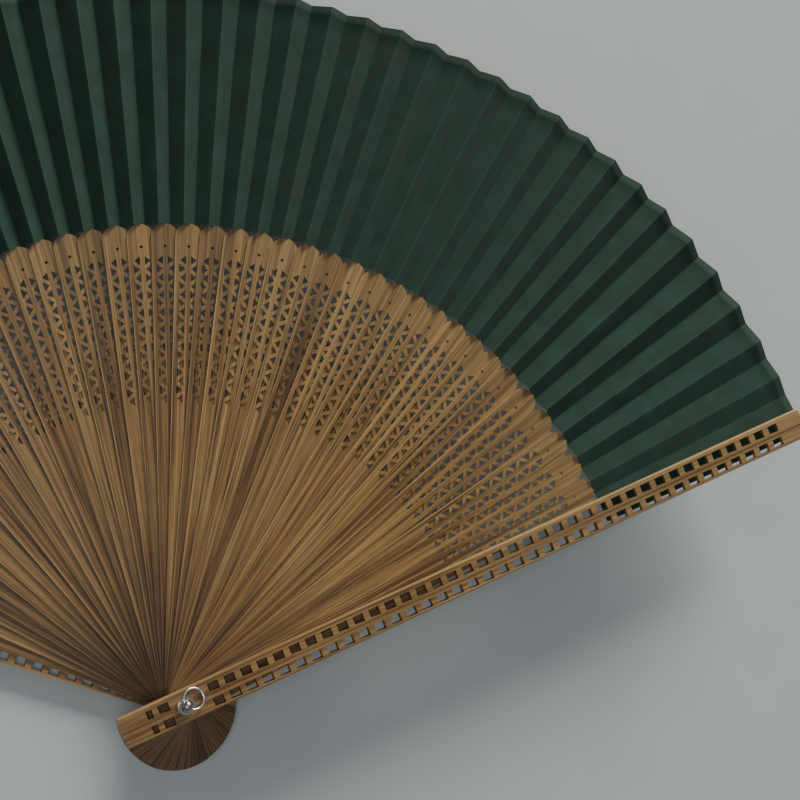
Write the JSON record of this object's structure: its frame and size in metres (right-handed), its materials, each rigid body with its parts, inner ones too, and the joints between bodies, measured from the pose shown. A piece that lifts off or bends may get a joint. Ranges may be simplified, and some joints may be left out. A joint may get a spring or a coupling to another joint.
{
  "type": "hand fan",
  "caption": "Folding hand fan, open: pierced bamboo ribs between two windowed guards on one rivet, with a pleated dark green cloth leaf and a small hanging ring.",
  "frame": {"origin": "middle of the rivet's flat back face, on the rivet axis", "axes": "+Z along the rivet from the back guard to the front guard; +Y along the middle of the open fan; +X to the front guard's side"},
  "size_m": [0.3622, 0.2097, 0.031],
  "materials": {
    "bamboo_guard": "satin, fine lengthwise grain",
    "bamboo_rib": "satin, fine lengthwise grain",
    "leaf_cloth": "matt plain weave on paper backing",
    "rivet_metal": "polished"
  },
  "bodies": {
    "back_guard": {"back_guard": "bamboo_guard", "leaf": "leaf_cloth", "rivet_shaft": "rivet_metal", "rivet_back_head": "rivet_metal", "rivet_back_washer": "rivet_metal", "rivet_front_washer": "rivet_metal", "rivet_front_head": "rivet_metal"},
    "front_guard": {"front_guard": "bamboo_guard"},
    "hanging_ring": {"hanging_ring": "rivet_metal"},
    "rib_01": {"rib_01": "bamboo_rib"},
    "rib_02": {"rib_02": "bamboo_rib"},
    "rib_03": {"rib_03": "bamboo_rib"},
    "rib_04": {"rib_04": "bamboo_rib"},
    "rib_05": {"rib_05": "bamboo_rib"},
    "rib_06": {"rib_06": "bamboo_rib"},
    "rib_07": {"rib_07": "bamboo_rib"},
    "rib_08": {"rib_08": "bamboo_rib"},
    "rib_09": {"rib_09": "bamboo_rib"},
    "rib_10": {"rib_10": "bamboo_rib"},
    "rib_11": {"rib_11": "bamboo_rib"},
    "rib_12": {"rib_12": "bamboo_rib"},
    "rib_13": {"rib_13": "bamboo_rib"},
    "rib_14": {"rib_14": "bamboo_rib"},
    "rib_15": {"rib_15": "bamboo_rib"},
    "rib_16": {"rib_16": "bamboo_rib"},
    "rib_17": {"rib_17": "bamboo_rib"},
    "rib_18": {"rib_18": "bamboo_rib"},
    "rib_19": {"rib_19": "bamboo_rib"},
    "rib_20": {"rib_20": "bamboo_rib"},
    "rib_21": {"rib_21": "bamboo_rib"},
    "rib_22": {"rib_22": "bamboo_rib"},
    "rib_23": {"rib_23": "bamboo_rib"},
    "rib_24": {"rib_24": "bamboo_rib"},
    "rib_25": {"rib_25": "bamboo_rib"},
    "rib_26": {"rib_26": "bamboo_rib"},
    "rib_27": {"rib_27": "bamboo_rib"},
    "rib_28": {"rib_28": "bamboo_rib"},
    "rib_29": {"rib_29": "bamboo_rib"},
    "rib_30": {"rib_30": "bamboo_rib"},
    "rib_31": {"rib_31": "bamboo_rib"},
    "rib_32": {"rib_32": "bamboo_rib"},
    "rib_33": {"rib_33": "bamboo_rib"},
    "rib_34": {"rib_34": "bamboo_rib"},
    "rib_35": {"rib_35": "bamboo_rib"},
    "rib_36": {"rib_36": "bamboo_rib"},
    "rib_37": {"rib_37": "bamboo_rib"},
    "rib_38": {"rib_38": "bamboo_rib"},
    "rib_39": {"rib_39": "bamboo_rib"},
    "rib_40": {"rib_40": "bamboo_rib"},
    "rib_41": {"rib_41": "bamboo_rib"},
    "rib_42": {"rib_42": "bamboo_rib"}
  },
  "joints": [
    {"name": "fan_fold", "type": "hinge", "parent": "back_guard", "child": "front_guard", "pos_m": [0, 0, 0], "axis": [0, 0, 1], "range_deg": [0, 139], "deforming": ["leaf"]},
    {"name": "rib_01_turn", "type": "hinge", "parent": "back_guard", "child": "rib_01", "pos_m": [0, 0, 0], "axis": [0, 0, 1], "range_deg": [0, 3.48]},
    {"name": "rib_02_turn", "type": "hinge", "parent": "rib_01", "child": "rib_02", "pos_m": [0, 0, 0], "axis": [0, 0, 1], "range_deg": [0, 3.48]},
    {"name": "rib_03_turn", "type": "hinge", "parent": "rib_02", "child": "rib_03", "pos_m": [0, 0, 0], "axis": [0, 0, 1], "range_deg": [0, 3.48]},
    {"name": "rib_04_turn", "type": "hinge", "parent": "rib_03", "child": "rib_04", "pos_m": [0, 0, 0], "axis": [0, 0, 1], "range_deg": [0, 3.48]},
    {"name": "rib_05_turn", "type": "hinge", "parent": "rib_04", "child": "rib_05", "pos_m": [0, 0, 0], "axis": [0, 0, 1], "range_deg": [0, 3.48]},
    {"name": "rib_06_turn", "type": "hinge", "parent": "rib_05", "child": "rib_06", "pos_m": [0, 0, 0], "axis": [0, 0, 1], "range_deg": [0, 3.48]},
    {"name": "rib_07_turn", "type": "hinge", "parent": "rib_06", "child": "rib_07", "pos_m": [0, 0, 0], "axis": [0, 0, 1], "range_deg": [0, 3.48]},
    {"name": "rib_08_turn", "type": "hinge", "parent": "rib_07", "child": "rib_08", "pos_m": [0, 0, 0], "axis": [0, 0, 1], "range_deg": [0, 3.48]},
    {"name": "rib_09_turn", "type": "hinge", "parent": "rib_08", "child": "rib_09", "pos_m": [0, 0, 0], "axis": [0, 0, 1], "range_deg": [0, 3.48]},
    {"name": "rib_10_turn", "type": "hinge", "parent": "rib_09", "child": "rib_10", "pos_m": [0, 0, 0], "axis": [0, 0, 1], "range_deg": [0, 3.48]},
    {"name": "rib_11_turn", "type": "hinge", "parent": "rib_10", "child": "rib_11", "pos_m": [0, 0, 0], "axis": [0, 0, 1], "range_deg": [0, 3.48]},
    {"name": "rib_12_turn", "type": "hinge", "parent": "rib_11", "child": "rib_12", "pos_m": [0, 0, 0], "axis": [0, 0, 1], "range_deg": [0, 3.48]},
    {"name": "rib_13_turn", "type": "hinge", "parent": "rib_12", "child": "rib_13", "pos_m": [0, 0, 0], "axis": [0, 0, 1], "range_deg": [0, 3.48]},
    {"name": "rib_14_turn", "type": "hinge", "parent": "rib_13", "child": "rib_14", "pos_m": [0, 0, 0], "axis": [0, 0, 1], "range_deg": [0, 3.48]},
    {"name": "rib_15_turn", "type": "hinge", "parent": "rib_14", "child": "rib_15", "pos_m": [0, 0, 0], "axis": [0, 0, 1], "range_deg": [0, 3.48]},
    {"name": "rib_16_turn", "type": "hinge", "parent": "rib_15", "child": "rib_16", "pos_m": [0, 0, 0], "axis": [0, 0, 1], "range_deg": [0, 3]},
    {"name": "rib_17_turn", "type": "hinge", "parent": "rib_16", "child": "rib_17", "pos_m": [0, 0, 0], "axis": [0, 0, 1], "range_deg": [0, 3]},
    {"name": "rib_18_turn", "type": "hinge", "parent": "rib_17", "child": "rib_18", "pos_m": [0, 0, 0], "axis": [0, 0, 1], "range_deg": [0, 3]},
    {"name": "rib_19_turn", "type": "hinge", "parent": "rib_18", "child": "rib_19", "pos_m": [0, 0, 0], "axis": [0, 0, 1], "range_deg": [0, 3]},
    {"name": "rib_20_turn", "type": "hinge", "parent": "rib_19", "child": "rib_20", "pos_m": [0, 0, 0], "axis": [0, 0, 1], "range_deg": [0, 3]},
    {"name": "rib_21_turn", "type": "hinge", "parent": "rib_20", "child": "rib_21", "pos_m": [0, 0, 0], "axis": [0, 0, 1], "range_deg": [0, 3]},
    {"name": "rib_22_turn", "type": "hinge", "parent": "rib_21", "child": "rib_22", "pos_m": [0, 0, 0], "axis": [0, 0, 1], "range_deg": [0, 3]},
    {"name": "rib_23_turn", "type": "hinge", "parent": "rib_22", "child": "rib_23", "pos_m": [0, 0, 0], "axis": [0, 0, 1], "range_deg": [0, 3]},
    {"name": "rib_24_turn", "type": "hinge", "parent": "rib_23", "child": "rib_24", "pos_m": [0, 0, 0], "axis": [0, 0, 1], "range_deg": [0, 3]},
    {"name": "rib_25_turn", "type": "hinge", "parent": "rib_24", "child": "rib_25", "pos_m": [0, 0, 0], "axis": [0, 0, 1], "range_deg": [0, 3]},
    {"name": "rib_26_turn", "type": "hinge", "parent": "rib_25", "child": "rib_26", "pos_m": [0, 0, 0], "axis": [0, 0, 1], "range_deg": [0, 3]},
    {"name": "rib_27_turn", "type": "hinge", "parent": "rib_26", "child": "rib_27", "pos_m": [0, 0, 0], "axis": [0, 0, 1], "range_deg": [0, 3]},
    {"name": "rib_28_turn", "type": "hinge", "parent": "rib_27", "child": "rib_28", "pos_m": [0, 0, 0], "axis": [0, 0, 1], "range_deg": [0, 3]},
    {"name": "rib_29_turn", "type": "hinge", "parent": "rib_28", "child": "rib_29", "pos_m": [0, 0, 0], "axis": [0, 0, 1], "range_deg": [0, 3]},
    {"name": "rib_30_turn", "type": "hinge", "parent": "rib_29", "child": "rib_30", "pos_m": [0, 0, 0], "axis": [0, 0, 1], "range_deg": [0, 3]},
    {"name": "rib_31_turn", "type": "hinge", "parent": "rib_30", "child": "rib_31", "pos_m": [0, 0, 0], "axis": [0, 0, 1], "range_deg": [0, 3]},
    {"name": "rib_32_turn", "type": "hinge", "parent": "rib_31", "child": "rib_32", "pos_m": [0, 0, 0], "axis": [0, 0, 1], "range_deg": [0, 3]},
    {"name": "rib_33_turn", "type": "hinge", "parent": "rib_32", "child": "rib_33", "pos_m": [0, 0, 0], "axis": [0, 0, 1], "range_deg": [0, 3]},
    {"name": "rib_34_turn", "type": "hinge", "parent": "rib_33", "child": "rib_34", "pos_m": [0, 0, 0], "axis": [0, 0, 1], "range_deg": [0, 3]},
    {"name": "rib_35_turn", "type": "hinge", "parent": "rib_34", "child": "rib_35", "pos_m": [0, 0, 0], "axis": [0, 0, 1], "range_deg": [0, 3]},
    {"name": "rib_36_turn", "type": "hinge", "parent": "rib_35", "child": "rib_36", "pos_m": [0, 0, 0], "axis": [0, 0, 1], "range_deg": [0, 3]},
    {"name": "rib_37_turn", "type": "hinge", "parent": "rib_36", "child": "rib_37", "pos_m": [0, 0, 0], "axis": [0, 0, 1], "range_deg": [0, 3]},
    {"name": "rib_38_turn", "type": "hinge", "parent": "rib_37", "child": "rib_38", "pos_m": [0, 0, 0], "axis": [0, 0, 1], "range_deg": [0, 3.48]},
    {"name": "rib_39_turn", "type": "hinge", "parent": "rib_38", "child": "rib_39", "pos_m": [0, 0, 0], "axis": [0, 0, 1], "range_deg": [0, 3.48]},
    {"name": "rib_40_turn", "type": "hinge", "parent": "rib_39", "child": "rib_40", "pos_m": [0, 0, 0], "axis": [0, 0, 1], "range_deg": [0, 3.48]},
    {"name": "rib_41_turn", "type": "hinge", "parent": "rib_40", "child": "rib_41", "pos_m": [0, 0, 0], "axis": [0, 0, 1], "range_deg": [0, 3.48]},
    {"name": "rib_42_turn", "type": "hinge", "parent": "rib_41", "child": "rib_42", "pos_m": [0, 0, 0], "axis": [0, 0, 1], "range_deg": [0, 3.48]},
    {"name": "ring_swing", "type": "hinge", "parent": "back_guard", "child": "hanging_ring", "pos_m": [0, 0, 0.02942], "axis": [0.682, -0.7314, 0], "range_deg": [0, 149]}
  ],
  "couplings": [
    {"joint": "rib_01_turn", "follows": "fan_fold", "ratio": 0.025022},
    {"joint": "rib_02_turn", "follows": "fan_fold", "ratio": 0.025022},
    {"joint": "rib_03_turn", "follows": "fan_fold", "ratio": 0.025022},
    {"joint": "rib_04_turn", "follows": "fan_fold", "ratio": 0.025022},
    {"joint": "rib_05_turn", "follows": "fan_fold", "ratio": 0.025022},
    {"joint": "rib_06_turn", "follows": "fan_fold", "ratio": 0.025022},
    {"joint": "rib_07_turn", "follows": "fan_fold", "ratio": 0.025022},
    {"joint": "rib_08_turn", "follows": "fan_fold", "ratio": 0.025022},
    {"joint": "rib_09_turn", "follows": "fan_fold", "ratio": 0.025022},
    {"joint": "rib_10_turn", "follows": "fan_fold", "ratio": 0.025022},
    {"joint": "rib_11_turn", "follows": "fan_fold", "ratio": 0.025022},
    {"joint": "rib_12_turn", "follows": "fan_fold", "ratio": 0.025022},
    {"joint": "rib_13_turn", "follows": "fan_fold", "ratio": 0.025022},
    {"joint": "rib_14_turn", "follows": "fan_fold", "ratio": 0.025022},
    {"joint": "rib_15_turn", "follows": "fan_fold", "ratio": 0.025022},
    {"joint": "rib_16_turn", "follows": "fan_fold", "ratio": 0.02157},
    {"joint": "rib_17_turn", "follows": "fan_fold", "ratio": 0.02157},
    {"joint": "rib_18_turn", "follows": "fan_fold", "ratio": 0.02157},
    {"joint": "rib_19_turn", "follows": "fan_fold", "ratio": 0.02157},
    {"joint": "rib_20_turn", "follows": "fan_fold", "ratio": 0.02157},
    {"joint": "rib_21_turn", "follows": "fan_fold", "ratio": 0.02157},
    {"joint": "rib_22_turn", "follows": "fan_fold", "ratio": 0.02157},
    {"joint": "rib_23_turn", "follows": "fan_fold", "ratio": 0.02157},
    {"joint": "rib_24_turn", "follows": "fan_fold", "ratio": 0.02157},
    {"joint": "rib_25_turn", "follows": "fan_fold", "ratio": 0.02157},
    {"joint": "rib_26_turn", "follows": "fan_fold", "ratio": 0.02157},
    {"joint": "rib_27_turn", "follows": "fan_fold", "ratio": 0.02157},
    {"joint": "rib_28_turn", "follows": "fan_fold", "ratio": 0.02157},
    {"joint": "rib_29_turn", "follows": "fan_fold", "ratio": 0.02157},
    {"joint": "rib_30_turn", "follows": "fan_fold", "ratio": 0.02157},
    {"joint": "rib_31_turn", "follows": "fan_fold", "ratio": 0.02157},
    {"joint": "rib_32_turn", "follows": "fan_fold", "ratio": 0.02157},
    {"joint": "rib_33_turn", "follows": "fan_fold", "ratio": 0.02157},
    {"joint": "rib_34_turn", "follows": "fan_fold", "ratio": 0.02157},
    {"joint": "rib_35_turn", "follows": "fan_fold", "ratio": 0.02157},
    {"joint": "rib_36_turn", "follows": "fan_fold", "ratio": 0.02157},
    {"joint": "rib_37_turn", "follows": "fan_fold", "ratio": 0.02157},
    {"joint": "rib_38_turn", "follows": "fan_fold", "ratio": 0.025022},
    {"joint": "rib_39_turn", "follows": "fan_fold", "ratio": 0.025022},
    {"joint": "rib_40_turn", "follows": "fan_fold", "ratio": 0.025022},
    {"joint": "rib_41_turn", "follows": "fan_fold", "ratio": 0.025022},
    {"joint": "rib_42_turn", "follows": "fan_fold", "ratio": 0.025022}
  ]
}
